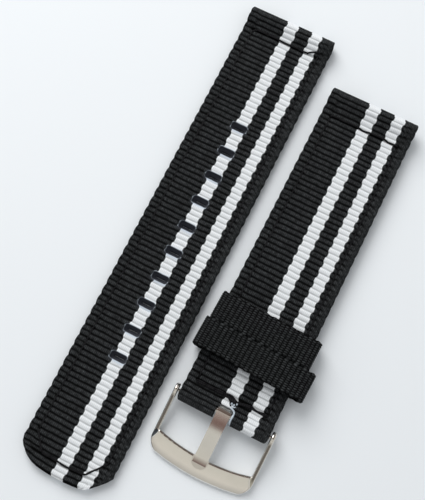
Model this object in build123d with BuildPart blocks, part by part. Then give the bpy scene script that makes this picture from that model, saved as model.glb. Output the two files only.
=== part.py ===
from build123d import *
from math import acos, asin, atan2, cos, degrees, hypot, radians, sin
import os

# A striped nylon watch strap in two halves, laid side by side on a table. Each half is a webbing
# folded double, with a tunnel for a watch's spring bar. The short half carries a pin buckle on a
# spring bar of its own, and two loose keeper loops. X runs across the straps, Y along them towards
# the watch, and Z up from the table. All sizes are in millimetres.

# Straps
strap_width = 22.0
layer = 1.1  # one thickness of webbing
long_length = 120.3  # lug fold to tip
short_length = 82.1  # lug fold to buckle fold
straps_apart = 26.6  # centre line to centre line
stagger = 11.0  # how far the short strap's lug fold lies behind the long strap's
tunnel_r = 0.85  # takes a 1.5 mm spring bar
fold_foot = 4.6  # from a fold's end to where its slope meets the flat strap
foot_blend = 1.6
edge_groove = 0.25  # the line between the two layers along each edge
tip_crown = 0.6  # how far the middle of the tip stands past its corners
tip_corner_r = 5.6

# Adjusting holes, melted through both layers
hole_count = 10
hole_first = 29.8  # from the lug fold
hole_pitch = 6.77
hole_across = 4.1
hole_along = 2.0
hole_shift = -0.4  # the row lies left of the centre line, over the white stripe

# Stitching
thread = 0.4
thread_proud = 0.08
stitch_pitch = 2.5
stitch_pull_share = 0.6  # of the thread: how much of each stitch's ends dips into the needle holes
needle_sink = 0.1
edge_row = 8.65  # from the centre line, on either side
row_gap = 0.8  # between the end of one row and the next row
long_lug_row = 5.5  # from the lug fold
short_lug_row = 6.7
tip_row = 3.5  # from the tip
tip_row_corner = 3.3  # how far in from an edge row the tip row turns
tip_row_drop = 4.4  # how far above the tip row an edge row meets its slant
buckle_row = 6.1  # from the buckle fold
buckle_row_apart = 0.85  # the buckle's row runs there and back

# Spring bar of the buckle
bar_r = 0.75
bar_bore_r = 0.55
bar_crimp = 0.5  # length of the narrowed ends of the tube
bar_end_gap = 0.3  # from the tube to an arm of the frame
running_gap = 0.05
shoulder_gap = 0.02
plug_length = 2.4
pivot_r = 0.38
pivot_seat = 0.5  # how far a pivot reaches into its arm
pivot_round = 0.12
spring_wire_r = 0.08
spring_pitch = 0.8

# Buckle frame
arm = 1.0  # thickness of an arm
arm_gap = 0.4  # from the webbing's edge to an arm
arm_edge = 0.42  # rounding of an arm's edges
arm_end_top = 2.05  # heights of an arm where it enters the front bar
arm_end_base = 0.3
arm_overlap = 0.9  # an arm ends this far short of the bar's inner edge at the middle
ear_r = 1.55
arm_hole_depth = 0.6
window = 10.8  # from the spring bar to the front bar's inner edge, at the middle
front_bar = 4.6
front_bow_r = 50.0  # of the front edge, seen from above
front_corner_r = 3.9
front_corner_clear = 0.08  # the corners' outline stands this far outside the front edge
front_slant_reach = 1.3  # of the slanting face on each end of the bar
front_slant_drop = 1.0
front_end_edge = 0.4  # rounding of the bar's ends
front_end_short = 0.9  # edges shorter than this stay sharp
front_height = 2.8  # at the inner edge
front_middle_height = 2.2
front_nose = 0.9  # height of the front edge's upper corner
front_nose_r = 0.7
front_side_r = 0.45  # rounding of the bar's other corners in section
seat_height = 2.1  # of the tongue's seat above the table
seat_end = 2.6  # from the inner edge to the end of the seat
seat_side_gap = 0.3

# Tongue
tongue_width = 3.2
tongue_shift = -0.15
sheet = 0.55
tongue_reach = 1.3  # past the inner edge of the front bar
tongue_rest_gap = 0.08
tongue_tip_round = 0.3
tongue_bow = 0.3  # how far the middle of the tongue arches up
curl_wrap = 290  # degrees
slot_side_gap = 0.35
slot_depth = 3.6  # from the buckle fold
slot_corner_r = 0.7

# Keepers, the upper one being the one nearer the lug end
keeper_layer = 1.0
keeper_gap = 0.15  # under the strap
keeper_skew = 2.2  # degrees
keepers_apart = 0.3
upper_width = 25.2
upper_band = 6.3
upper_middle = 59.9  # from the lug fold
upper_play = 0.15  # above a second strap passed through
upper_shift = 0.1
lower_width = 27.8
lower_band = 6.4
lower_play = 0.5
lower_shift = 0.5
keeper_corner_r = 2.0
seam_rows = 2
seam_row_pitch = 1.6
seam_margin = 0.5  # from the ends of a seam to the sides of the band

# One overrun serves all cuts
overrun = 1.0

# Levels and places that follow from the sizes
strap_thick = 2 * layer
fold_r = tunnel_r + layer
short_base = keeper_layer + keeper_gap
skew = radians(keeper_skew)
lower_reach = lower_width / 2 * cos(skew) + lower_band / 2 * sin(skew)
set_width = strap_width / 2 + straps_apart + lower_shift + lower_reach
long_x = strap_width / 2 - set_width / 2
short_x = long_x + straps_apart
long_lug_y = long_length / 2
tip_y = -long_length / 2
short_lug_y = long_lug_y - stagger
buckle_fold_y = short_lug_y - short_length
pin_y = buckle_fold_y + fold_r
pin_z = short_base + fold_r
arm_inner = strap_width / 2 + arm_gap
arm_outer = arm_inner + arm
inner_y = pin_y - window
front_y = inner_y - front_bar
bow_y = front_y + front_bow_r
arm_end_y = inner_y + arm_overlap
lower_middle = upper_middle + upper_band / 2 + keepers_apart + lower_band / 2


def fold_centre(fold_y, base, facing):
    """Centre of a tunnel in the side view. facing is 1 where the fold looks to +Y, and else -1."""
    return fold_y - facing * fold_r, base + fold_r


def add_fold(fold_y, base, facing):
    """Adds the round of webbing about a tunnel to a side view, with its slope to the flat strap."""
    centre = fold_centre(fold_y, base, facing)
    foot = (fold_y - facing * fold_foot, base + strap_thick)
    reach = hypot(foot[0] - centre[0], foot[1] - centre[1])
    aim = atan2(foot[1] - centre[1], foot[0] - centre[0]) - facing * acos(fold_r / reach)
    touch = (centre[0] + fold_r * cos(aim), centre[1] + fold_r * sin(aim))
    with Locations(centre):
        Circle(fold_r)
    Polygon(touch, foot, (foot[0], base), (centre[0], base), centre, align=None)


def add_slab(low_y, high_y, base):
    """Adds the flat stretch of a doubled webbing to a side view."""
    Polygon(
        (low_y, base),
        (high_y, base),
        (high_y, base + strap_thick),
        (low_y, base + strap_thick),
        align=None,
    )


def edge_grooves(centre_x, low_y, high_y, base):
    """The shallow lines along both edges of a strap where its two layers meet."""
    with BuildPart() as grooves:
        with BuildSketch(Plane.XZ.offset(-high_y)):
            for side in (-1, 1):
                edge = centre_x + side * strap_width / 2
                with Locations((edge, base + layer)):
                    Rectangle(edge_groove * 2**0.5, edge_groove * 2**0.5, rotation=45)
        extrude(amount=high_y - low_y)
    return grooves.part


def stitched(plane, points, thick, proud):
    """A row of lockstitches on a plane at the webbing's underside: a thread above, one below, and
    their legs in the needle holes."""
    stitches, needles = [], [points[0]]
    for (xa, ya), (xb, yb) in zip(points, points[1:]):
        run = hypot(xb - xa, yb - ya)
        count = max(1, round(run / stitch_pitch))
        turn = degrees(atan2(yb - ya, xb - xa))
        for k in range(count):
            middle = (k + 0.5) / count
            end = (k + 1) / count
            place = (xa + middle * (xb - xa), ya + middle * (yb - ya))
            stitches.append((place, turn, run / count - stitch_pull_share * thread))
            needles.append((xa + end * (xb - xa), ya + end * (yb - ya)))
    with BuildPart() as row:
        for level in (0, thick + proud - thread):
            with BuildSketch(plane.offset(level)):
                for place, turn, length in stitches:
                    with Locations(place):
                        Rectangle(length, thread, rotation=turn)
            extrude(amount=thread)
        with BuildSketch(plane):
            with Locations(*needles):
                Circle(thread / 2)
        extrude(amount=thick - needle_sink)
    return row


def strap_plane(centre_x, lug_y, base):
    """A plane at a strap's underside whose y is the distance from the lug fold, taken negative."""
    return Plane(origin=(centre_x, lug_y, base))


# Stitching of the long strap
long_plane = strap_plane(long_x, long_lug_y, 0)
tip_row_y = tip_row - long_length
long_edge_end = tip_row_y + tip_row_drop
long_rows = {
    "long_lug_stitch": [(-edge_row, -long_lug_row), (edge_row, -long_lug_row)],
    "long_left_edge_stitch": [
        (-edge_row, -long_lug_row - row_gap),
        (-edge_row, long_edge_end + row_gap),
    ],
    "long_right_edge_stitch": [
        (edge_row, -long_lug_row - row_gap),
        (edge_row, long_edge_end + row_gap),
    ],
    "long_tip_stitch": [
        (-edge_row, long_edge_end),
        (-edge_row + tip_row_corner, tip_row_y),
        (edge_row - tip_row_corner, tip_row_y),
        (edge_row, long_edge_end),
    ],
}
threads = {
    name: stitched(long_plane, points, strap_thick, thread_proud)
    for name, points in long_rows.items()
}

# Stitching of the short strap
short_plane = strap_plane(short_x, short_lug_y, short_base)
buckle_row_y = buckle_row - short_length
short_rows = {
    "short_lug_stitch": [(-edge_row, -short_lug_row), (edge_row, -short_lug_row)],
    "short_left_edge_stitch": [
        (-edge_row, -short_lug_row - row_gap),
        (-edge_row, buckle_row_y + row_gap),
    ],
    "short_right_edge_stitch": [
        (edge_row, -short_lug_row - row_gap),
        (edge_row, buckle_row_y + row_gap),
    ],
    "short_buckle_stitch": [
        (-edge_row, buckle_row_y),
        (edge_row, buckle_row_y),
        (edge_row, buckle_row_y - buckle_row_apart),
        (-edge_row, buckle_row_y - buckle_row_apart),
    ],
}
threads |= {
    name: stitched(short_plane, points, strap_thick, thread_proud)
    for name, points in short_rows.items()
}

# Long strap: folded at the lug end, with a rounded, heat-sealed tip and the holes
with BuildPart() as long_strap_webbing:
    with BuildSketch(Plane.YZ.offset(long_x)):
        add_fold(long_lug_y, 0, 1)
        add_slab(tip_y, long_lug_y - fold_r, 0)
        feet = vertices().sort_by_distance((long_lug_y - fold_foot, strap_thick))
        fillet(feet[0], radius=foot_blend)
    extrude(amount=strap_width / 2, both=True)
    with BuildSketch() as tip_outline:
        with BuildLine():
            left, right = long_x - strap_width / 2, long_x + strap_width / 2
            Polyline(
                (left, tip_y + tip_crown),
                (left, long_lug_y),
                (right, long_lug_y),
                (right, tip_y + tip_crown),
            )
            ThreePointArc((right, tip_y + tip_crown), (long_x, tip_y), (left, tip_y + tip_crown))
        make_face()
        fillet(vertices().group_by(Axis.Y)[0], radius=tip_corner_r)
    extrude(amount=2 * fold_r, mode=Mode.INTERSECT)
    with BuildSketch(Plane.YZ.offset(long_x)):
        with Locations(fold_centre(long_lug_y, 0, 1)):
            Circle(tunnel_r)
    extrude(amount=strap_width / 2 + overrun, both=True, mode=Mode.SUBTRACT)
    hole_row_y = long_lug_y - hole_first - hole_pitch * (hole_count - 1) / 2
    with BuildSketch():
        with Locations((long_x + hole_shift, hole_row_y)):
            with GridLocations(hole_pitch, hole_pitch, 1, hole_count):
                SlotOverall(hole_across, hole_along)
    extrude(amount=strap_thick + overrun, both=True, mode=Mode.SUBTRACT)
    groove_top = long_lug_y - fold_foot
    add(edge_grooves(long_x, tip_y, groove_top, 0), mode=Mode.SUBTRACT)
    for name in long_rows:
        add(threads[name].part, mode=Mode.SUBTRACT)

# Short strap: folded at both ends, with the tongue's slot through the buckle fold
with BuildPart() as short_strap_webbing:
    with BuildSketch(Plane.YZ.offset(short_x)):
        add_fold(short_lug_y, short_base, 1)
        add_fold(buckle_fold_y, short_base, -1)
        add_slab(pin_y, short_lug_y - fold_r, short_base)
        for foot_y in (short_lug_y - fold_foot, buckle_fold_y + fold_foot):
            feet = vertices().sort_by_distance((foot_y, short_base + strap_thick))
            fillet(feet[0], radius=foot_blend)
    extrude(amount=strap_width / 2, both=True)
    with BuildSketch(Plane.YZ.offset(short_x)):
        with Locations(
            fold_centre(short_lug_y, short_base, 1), fold_centre(buckle_fold_y, short_base, -1)
        ):
            Circle(tunnel_r)
    extrude(amount=strap_width / 2 + overrun, both=True, mode=Mode.SUBTRACT)
    slot_width = tongue_width + 2 * slot_side_gap
    with BuildSketch(Plane.XY.offset(short_base)):
        with Locations((short_x + tongue_shift, buckle_fold_y)):
            RectangleRounded(slot_width, 2 * slot_depth, slot_corner_r)
    extrude(amount=2 * fold_r, mode=Mode.SUBTRACT)
    grooves = edge_grooves(
        short_x, buckle_fold_y + fold_foot, short_lug_y - fold_foot, short_base
    )
    add(grooves, mode=Mode.SUBTRACT)
    for name in short_rows:
        add(threads[name].part, mode=Mode.SUBTRACT)

# Spring bar: a tube in the buckle fold, with crimped ends that hold in its two sprung pivots
tube_end = arm_inner - bar_end_gap
with BuildPart() as spring_bar_tube:
    for radius, half, mode in (
        (bar_r, tube_end, Mode.ADD),
        (bar_bore_r, tube_end - bar_crimp, Mode.SUBTRACT),
        (pivot_r + running_gap, tube_end + overrun, Mode.SUBTRACT),
    ):
        with BuildSketch(Plane.YZ.offset(short_x)):
            with Locations((pin_y, pin_z)):
                Circle(radius)
        extrude(amount=half, both=True, mode=mode)

shoulder = tube_end - bar_crimp - shoulder_gap
plug_end = shoulder - plug_length


def bar_pivot(side):
    """A pivot of the spring bar: its plug inside the tube and its pin in the arm of the frame."""
    with BuildPart() as pivot:
        for start, end, radius in (
            (plug_end, shoulder, bar_bore_r - running_gap),
            (shoulder, arm_inner + pivot_seat, pivot_r),
        ):
            with BuildSketch(Plane.YZ.offset(short_x + side * start)):
                with Locations((pin_y, pin_z)):
                    Circle(radius)
            extrude(amount=side * (end - start))
        outer = faces().sort_by(Axis.X)[-1 if side > 0 else 0]
        fillet(outer.edges(), radius=pivot_round)
    return pivot


spring_bar_pivot_left = bar_pivot(-1)
spring_bar_pivot_right = bar_pivot(1)

# The coil between the two plugs, its end turns just clear of them
coil_r = bar_bore_r - running_gap - spring_wire_r
coil_end = plug_end - spring_wire_r - shoulder_gap
with BuildPart() as spring_bar_coil:
    with BuildLine() as coil_line:
        Helix(
            spring_pitch,
            2 * coil_end,
            coil_r,
            center=(short_x - coil_end, pin_y, pin_z),
            direction=(1, 0, 0),
        )
    with BuildSketch(Plane(origin=coil_line.line @ 0, z_dir=coil_line.line % 0)):
        Circle(spring_wire_r)
    sweep()

# One arm of the buckle frame: an ear round the spring bar's pivot, and its tangents to the bar
def ear_touch(end_z, side):
    """Where the tangent from an arm's end touches the ear. side is -1 on top and 1 below."""
    reach = hypot(pin_y - arm_end_y, pin_z - end_z)
    aim = atan2(end_z - pin_z, arm_end_y - pin_y) + side * acos(ear_r / reach)
    return pin_y + ear_r * cos(aim), pin_z + ear_r * sin(aim)


with BuildPart() as frame_arm:
    with BuildSketch(Plane.YZ.offset(short_x + arm_inner)):
        with Locations((pin_y, pin_z)):
            Circle(ear_r)
        Polygon(
            ear_touch(arm_end_top, -1),
            (arm_end_y, arm_end_top),
            (arm_end_y, arm_end_base),
            ear_touch(arm_end_base, 1),
            (pin_y, pin_z),
            align=None,
        )
    extrude(amount=arm)
    rims = faces().filter_by(Axis.X).edges()
    fillet(rims - rims.group_by(Axis.Y)[0], radius=arm_edge)

# Buckle frame: half of the bowed front bar, its end cut slanting, with an arm, mirrored, then the
# pivots' blind holes and the tongue's seat
middle = Plane.YZ.offset(short_x)
with BuildPart() as buckle_frame:
    with BuildSketch(middle):
        with BuildLine():
            Polyline((front_y, front_nose), (front_y, 0), (inner_y, 0), (inner_y, front_height))
            ThreePointArc(
                (inner_y, front_height),
                (inner_y - front_bar / 2, front_middle_height),
                (front_y, front_nose),
            )
        make_face()
        for corner in ((inner_y, front_height), (inner_y, 0), (front_y, 0)):
            fillet(vertices().sort_by_distance(corner)[0], radius=front_side_r)
        fillet(vertices().sort_by_distance((front_y, front_nose))[0], radius=front_nose_r)
    bow_sweep = degrees(asin((arm_outer + overrun) / (front_bow_r - front_bar)))
    revolve(axis=Axis((short_x, bow_y, 0), (0, 0, 1)), revolution_arc=bow_sweep)
    with BuildSketch():
        with Locations((short_x, bow_y)):
            Circle(front_bow_r + front_corner_clear)
            Rectangle(2 * arm_outer, 2 * front_bow_r + 2 * overrun, mode=Mode.INTERSECT)
        fillet(vertices().group_by(Axis.Y)[0], radius=front_corner_r)
    extrude(amount=front_height + overrun, mode=Mode.INTERSECT)
    slant_base = front_height - front_slant_drop
    with BuildSketch(Plane.XZ.offset(-pin_y)):
        Polygon(
            (short_x, 0),
            (short_x + arm_outer, 0),
            (short_x + arm_outer, slant_base),
            (short_x + arm_outer - front_slant_reach, front_height),
            (short_x, front_height),
            align=None,
        )
    extrude(amount=window + front_bar + overrun, mode=Mode.INTERSECT)
    ends = edges().filter_by(lambda edge: edge.center().X > short_x + arm_inner)
    fillet(ends.filter_by(lambda edge: edge.length > front_end_short), radius=front_end_edge)
    add(frame_arm.part)
    mirror(about=middle)
    with BuildSketch(middle):
        with Locations((pin_y, pin_z)):
            Circle(pivot_r + running_gap)
    extrude(amount=arm_inner + arm_hole_depth, both=True, mode=Mode.SUBTRACT)
    seat_width = tongue_width + 2 * seat_side_gap
    with BuildSketch(Plane.XY.offset(seat_height)):
        with Locations((short_x + tongue_shift, inner_y)):
            SlotOverall(2 * seat_end, seat_width, rotation=90)
    extrude(amount=front_height, mode=Mode.SUBTRACT)

# Tongue: a strip curled round the spring bar, resting in the seat of the front bar
curl_inner = bar_r + running_gap
curl_outer = curl_inner + sheet
tip_out = window + tongue_reach
tip_drop = pin_z - seat_height - tongue_rest_gap
slope = atan2(tip_drop, tip_out) + asin(curl_inner / hypot(tip_out, tip_drop))
tongue_run = tip_out / cos(slope)
tongue_plane = Plane(
    origin=(short_x + tongue_shift, pin_y, pin_z),
    x_dir=(0, -cos(slope), -sin(slope)),
    z_dir=(-1, 0, 0),
)
with BuildPart() as buckle_tongue:
    with BuildSketch(tongue_plane):
        with BuildLine():
            inside = CenterArc((0, 0), curl_inner, 90, curl_wrap)
            outside = CenterArc((0, 0), curl_outer, 90, curl_wrap)
            Line(inside @ 1, outside @ 1)
            for level, curl in ((curl_inner, inside), (curl_outer, outside)):
                crest = (tongue_run / 2, level + tongue_bow)
                ThreePointArc(curl @ 0, crest, (tongue_run, level))
            Line((tongue_run, curl_inner), (tongue_run, curl_outer))
        make_face()
        tip = vertices().sort_by_distance((tongue_run, curl_outer))[0]
        fillet(tip, radius=tongue_tip_round)
    extrude(amount=tongue_width / 2, both=True)

parts = threads | {
    "long_strap_webbing": long_strap_webbing,
    "short_strap_webbing": short_strap_webbing,
    "spring_bar_tube": spring_bar_tube,
    "spring_bar_pivot_left": spring_bar_pivot_left,
    "spring_bar_pivot_right": spring_bar_pivot_right,
    "spring_bar_coil": spring_bar_coil,
    "buckle_frame": buckle_frame,
    "buckle_tongue": buckle_tongue,
}


def keeper(middle, width, band, play, shift):
    """A keeper loop and the thread of its seam, which lies under the strap."""
    centre = Vector(short_x + shift, short_lug_y - middle, 0)
    across = Plane(origin=centre, x_dir=(cos(skew), -sin(skew), 0), z_dir=(-sin(skew), -cos(skew), 0))
    floor_plane = Plane(origin=centre, x_dir=(cos(skew), -sin(skew), 0), z_dir=(0, 0, 1))
    seam_end = band / 2 - seam_margin
    rows = []
    for k in range(seam_rows):
        row_x = (k - (seam_rows - 1) / 2) * seam_row_pitch
        rows.append(stitched(floor_plane, [(row_x, -seam_end), (row_x, seam_end)], keeper_layer, 0))
    with BuildPart() as seam:
        for row in rows:
            add(row.part)
    height = keeper_gap + 2 * strap_thick + play
    with BuildPart() as loop:
        with BuildSketch(across):
            with Locations((0, keeper_layer + height / 2)):
                RectangleRounded(width, height + 2 * keeper_layer, keeper_corner_r)
                RectangleRounded(
                    width - 2 * keeper_layer,
                    height,
                    keeper_corner_r - keeper_layer,
                    mode=Mode.SUBTRACT,
                )
        extrude(amount=band / 2, both=True)
        add(seam.part, mode=Mode.SUBTRACT)
    return loop, seam


parts["upper_keeper"], parts["upper_keeper_seam"] = keeper(
    upper_middle, upper_width, upper_band, upper_play, upper_shift
)
parts["lower_keeper"], parts["lower_keeper_seam"] = keeper(
    lower_middle, lower_width, lower_band, lower_play, lower_shift
)

os.makedirs("parts", exist_ok=True)
for name, piece in parts.items():
    piece.part.label = name
    export_step(piece.part, f"parts/{name}.step")
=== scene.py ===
from math import acos, atan2, cos, hypot, pi, radians, sin

import bmesh
import bpy
import numpy as np
from mathutils import Matrix, Vector


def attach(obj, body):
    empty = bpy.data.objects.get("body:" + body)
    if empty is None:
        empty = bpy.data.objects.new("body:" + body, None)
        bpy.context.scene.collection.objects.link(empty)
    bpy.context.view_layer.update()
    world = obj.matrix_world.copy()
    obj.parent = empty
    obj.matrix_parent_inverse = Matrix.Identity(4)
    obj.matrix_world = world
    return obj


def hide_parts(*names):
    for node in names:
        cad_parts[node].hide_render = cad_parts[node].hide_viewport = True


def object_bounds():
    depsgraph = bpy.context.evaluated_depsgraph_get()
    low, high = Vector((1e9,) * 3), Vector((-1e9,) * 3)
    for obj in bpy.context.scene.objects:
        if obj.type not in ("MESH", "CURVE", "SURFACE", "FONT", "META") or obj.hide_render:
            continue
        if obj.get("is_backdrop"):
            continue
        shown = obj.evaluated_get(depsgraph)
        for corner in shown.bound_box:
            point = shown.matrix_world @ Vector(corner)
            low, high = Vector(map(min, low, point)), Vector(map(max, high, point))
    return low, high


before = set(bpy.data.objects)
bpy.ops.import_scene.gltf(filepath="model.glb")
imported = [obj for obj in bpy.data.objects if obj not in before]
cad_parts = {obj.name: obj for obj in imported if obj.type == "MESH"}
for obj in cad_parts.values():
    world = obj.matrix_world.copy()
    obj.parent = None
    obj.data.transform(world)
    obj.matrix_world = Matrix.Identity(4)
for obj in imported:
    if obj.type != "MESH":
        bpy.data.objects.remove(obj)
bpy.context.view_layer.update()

# The script works in millimetres and turns them into metres where it makes a mesh
mm = 0.001
rng = np.random.default_rng(7)

# Sizes and places of the straps, as in the part
strap_width = 22.0
half = strap_width / 2
layer = 1.1
strap_thick = 2 * layer
long_length = 120.3
short_length = 82.1
tunnel_r = 0.85
fold_r = tunnel_r + layer
visible_foot = 5.3  # where the slope of a fold meets the flat strap
fold_soft = 0.5
long_x, long_lug_y = -15.0563, 60.15
short_x, short_lug_y = 11.5437, 49.15
short_base = 1.15
hole_count, hole_first, hole_pitch = 10, 29.8, 6.77
hole_across, hole_along, hole_shift = 4.1, 2.0, -0.4
edge_row = 8.65
stitch_pitch = 2.5
tongue_shift = -0.15
slot_half = 1.95
slot_depth = 3.6
arm = 1.0
arm_gap = 0.4
pin_y, inner_y, tongue_end_y = -31.0, -41.8, -43.26

# Weave of the straps: ribs of weft run across, and fine warp yarns cover them, one rib up and one down
rib = 1.3
rib_steps = 7
rib_depth = 0.3
yarn = 0.42
keeper_rib = 1.13
keeper_yarn = 0.47

# MATERIALS


def feed(tree, one, inputs):
    """Links or sets the inputs of a node."""
    for key, value in inputs.items():
        if isinstance(value, bpy.types.NodeSocket):
            tree.links.new(value, one.inputs[key])
        else:
            one.inputs[key].default_value = value


def node_maker(tree):
    """A function that adds nodes to a tree."""

    def node(kind, inputs=None, **settings):
        one = tree.nodes.new("ShaderNode" + kind)
        for key, value in settings.items():
            setattr(one, key, value)
        feed(tree, one, inputs or {})
        return one

    return node


def material(name):
    made = bpy.data.materials.new(name)
    made.use_nodes = True
    return made, made.node_tree, made.node_tree.nodes["Principled BSDF"], node_maker(made.node_tree)


def maths(node, kind, *values):
    return node("Math", dict(enumerate(values)), operation=kind).outputs[0]


def product(node, first, *others):
    for other in others:
        first = maths(node, "MULTIPLY", first, other)
    return first


def scaled(node, vector, scale):
    return node("VectorMath", {0: vector, "Scale": scale}, operation="SCALE").outputs[0]


def colour_mix(node, share, a, b):
    a, b = (v if isinstance(v, bpy.types.NodeSocket) else (*v, 1) for v in (a, b))
    return node("Mix", {0: share, 6: a, 7: b}, data_type="RGBA").outputs[2]


def between(node, value, low, high, start=0.0, end=1.0):
    """Maps a value from low..high to start..end, clamped."""
    return node("MapRange", {0: value, 1: low, 2: high, 3: start, 4: end}).outputs[0]


def spread(node, noise, start=0.0, end=1.0):
    """Maps the usual range of a noise to start..end."""
    return between(node, noise, 0.3, 0.7, start, end)


def attribute(node, name):
    return node("Attribute", attribute_name=name).outputs["Fac"]


def noise(node, place, scale, detail):
    return node("TexNoise", {"Vector": place, "Scale": scale, "Detail": detail}).outputs["Fac"]


def flat_noise(node, x, y, scales, detail):
    """Noise over two coordinates, each with its own scale."""
    place = node("CombineXYZ", {0: product(node, x, scales[0]), 1: product(node, y, scales[1])})
    return noise(node, place.outputs[0], 1.0, detail)


def bumped(node, height, distance, strength):
    """A normal from a height, which stands for a distance in mm."""
    inputs = {"Height": height, "Distance": distance * mm, "Strength": strength}
    return node("Bump", inputs).outputs[0]


def weave_material(name, rib_pitch, yarn_pitch, dark, stripes=None, pale=None, yarn_light=0.0):
    """Ribbed nylon. The attributes along and across give a point's place on the band in mm, depth how
    far it lies below the ribs' crests, and melt how far it is melted. The colour is painted darker with
    depth, as shade in the rib valleys and on the sides, and lighter on the raised yarns, as highlight."""
    made, tree, shader, node = material(name)
    along, across, depth = (attribute(node, key) for key in ("along", "across", "depth"))
    turns = maths(node, "DIVIDE", along, rib_pitch)
    # every second warp yarn is up over a rib, and the others over the next
    wave = maths(node, "COSINE", product(node, turns, pi))
    weave = product(node, wave, maths(node, "COSINE", product(node, across, 2 * pi / yarn_pitch)))
    streak = flat_noise(node, across, maths(node, "ROUND", turns), (1.1, 3.7), 2.0)
    fibre = flat_noise(node, across, along, (9.0, 2.4), 3.0)
    speckle = flat_noise(node, across, along, (2.6, 1.9), 1.0)
    shade = product(
        node,
        spread(node, streak, 0.68, 1.3),
        spread(node, fibre, 0.7, 1.3),
        spread(node, speckle, 0.55, 1.45),
        # painted highlight on the raised yarns and painted shade on the sunken ones
        between(node, weave, -1.0, 1.0, 1 - yarn_light, 1 + yarn_light),
        # painted shade: darker the deeper a point lies in the rib valleys
        between(node, depth, -0.21, -0.04, 0.05, 1.0),
    )
    colour = scaled(node, dark, shade)
    if stripes:
        # the white stripes' own tone, with painted shade in their rib valleys and painted highlight on their
        # raised yarns
        stripe_tone_and_shade = product(
            node,
            # painted shade in the white stripes' rib valleys
            between(node, depth, -0.27, -0.1, 0.5, 1.0),
            # painted highlight on the raised yarns of the white stripes
            between(node, weave, -1.0, 1.0, 0.86, 1.0),
            spread(node, fibre, 0.93, 1.04),
        )
        # the stripes' edges step with the ribs and are a little ragged
        ragged = product(node, maths(node, "SUBTRACT", fibre, 0.5), 0.12)
        snake = maths(node, "ADD", between(node, wave, -0.6, 0.6, -0.15, 0.15), ragged)
        place = maths(node, "SUBTRACT", across, snake)
        inside = 0.0
        for start, end in stripes:
            off = maths(node, "ABSOLUTE", maths(node, "SUBTRACT", place, (start + end) / 2))
            reach, soft = (end - start) / 2, 0.05
            inside = maths(node, "MAXIMUM", inside, between(node, off, reach - soft, reach + soft, 1.0, 0.0))
        colour = colour_mix(node, inside, colour, scaled(node, pale, stripe_tone_and_shade))
        molten = colour_mix(node, inside, (0.04, 0.043, 0.05), (0.58, 0.65, 0.74))
        colour = colour_mix(node, attribute(node, "melt"), colour, molten)
    height = maths(node, "ADD", product(node, weave, 0.5), product(node, fibre, 0.35))
    feed(tree, shader, {
        "Base Color": colour,
        "Roughness": between(node, fibre, 0.0, 1.0, 0.5, 0.72),
        "Specular IOR Level": 0.03,
        "Normal": bumped(node, height, 0.09, 0.85),
    })
    return made


def thread_material():
    """Black thread, its plies twisted round it."""
    made, tree, shader, node = material("black_thread")
    twist = product(node, attribute(node, "along"), 2 * pi / 0.5)
    ply = maths(node, "SINE", maths(node, "ADD", twist, product(node, attribute(node, "across"), 2.0)))
    share = between(node, ply, -1.0, 1.0)
    feed(tree, shader, {
        "Base Color": colour_mix(node, share, (0.003, 0.003, 0.004), (0.009, 0.009, 0.011)),
        "Roughness": 0.55,
        "Specular IOR Level": 0.15,
        "Normal": bumped(node, ply, 0.05, 0.8),
    })
    return made


def melt_material():
    """Melted nylon round the holes: milky near the top over the white stripe, and slate elsewhere. The
    slate deeper down in the holes is painted shade.
    """
    made, tree, shader, node = material("melted_nylon")
    cloud = noise(node, node("TexCoord").outputs["Object"], 1400.0, 3.0)
    off = maths(node, "ABSOLUTE", maths(node, "ADD", attribute(node, "across"), 0.05))
    share = product(
        node,
        between(node, off, 1.3, 1.75, 1.0, 0.7),
        spread(node, cloud, 0.6, 1.0),
        # painted shade: the milky colour turns slate deeper in the hole
        between(node, attribute(node, "depth"), -0.35, -0.05),
    )
    feed(tree, shader, {
        "Base Color": colour_mix(node, share, (0.05, 0.054, 0.066), (0.6, 0.68, 0.76)),
        "Roughness": 0.5,
        "Specular IOR Level": 0.15,
        "Normal": bumped(node, cloud, 0.05, 0.5),
    })
    return made


def arm_painted_reflection(node, place):
    """The middle of each arm of the buckle, along its length, where a dark reflection is painted. The place
    is in mm.
    """
    x, y = place.outputs[0], place.outputs[1]
    aside = maths(node, "ABSOLUTE", maths(node, "SUBTRACT", x, short_x))
    off = maths(node, "ABSOLUTE", maths(node, "SUBTRACT", aside, half + arm_gap + arm / 2))
    from_bar = between(node, y, inner_y, inner_y + 1.2)
    to_pin = between(node, y, pin_y - 1.8, pin_y - 0.9, 1.0, 0.0)
    return product(node, between(node, off, 0.2, 0.36, 1.0, 0.0), product(node, from_bar, to_pin))


def tongue_tip_painted_reflection(node, place):
    """The last part of the tongue, where a dark reflection is painted, darkest at the tip. The place is in
    mm.
    """
    return between(node, place.outputs[1], tongue_end_y, tongue_end_y + 1.5, 1.0, 0.0)


def metal_material(name, colour, rough_low, rough_high, painted_reflection_part=None, dark=None):
    """Polished plated metal with faint smears and fine scratches, and a part painted darker as a dark
    reflection.
    """
    made, tree, shader, node = material(name)
    place = node("TexCoord").outputs["Object"]
    smear = noise(node, place, 180.0, 4.0)
    along_grain = {"Vector": place, "Scale": (600.0, 9000.0, 2500.0), "Rotation": (0, 0, 0.3)}
    scratch = noise(node, node("Mapping", along_grain).outputs[0], 1.0, 2.0)
    shown = colour_mix(node, spread(node, smear), [0.92 * v for v in colour], colour)
    # painted reflection: the given part takes the dark colour
    if painted_reflection_part:
        place_mm = node("SeparateXYZ", {0: scaled(node, place, 1 / mm)})
        shown = colour_mix(node, painted_reflection_part(node, place_mm), shown, dark)
    feed(tree, shader, {
        "Base Color": shown,
        "Metallic": 1.0,
        "Roughness": spread(node, smear, rough_low, rough_high),
        "Normal": bumped(node, scratch, 0.002, 0.25),
    })
    return made


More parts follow.
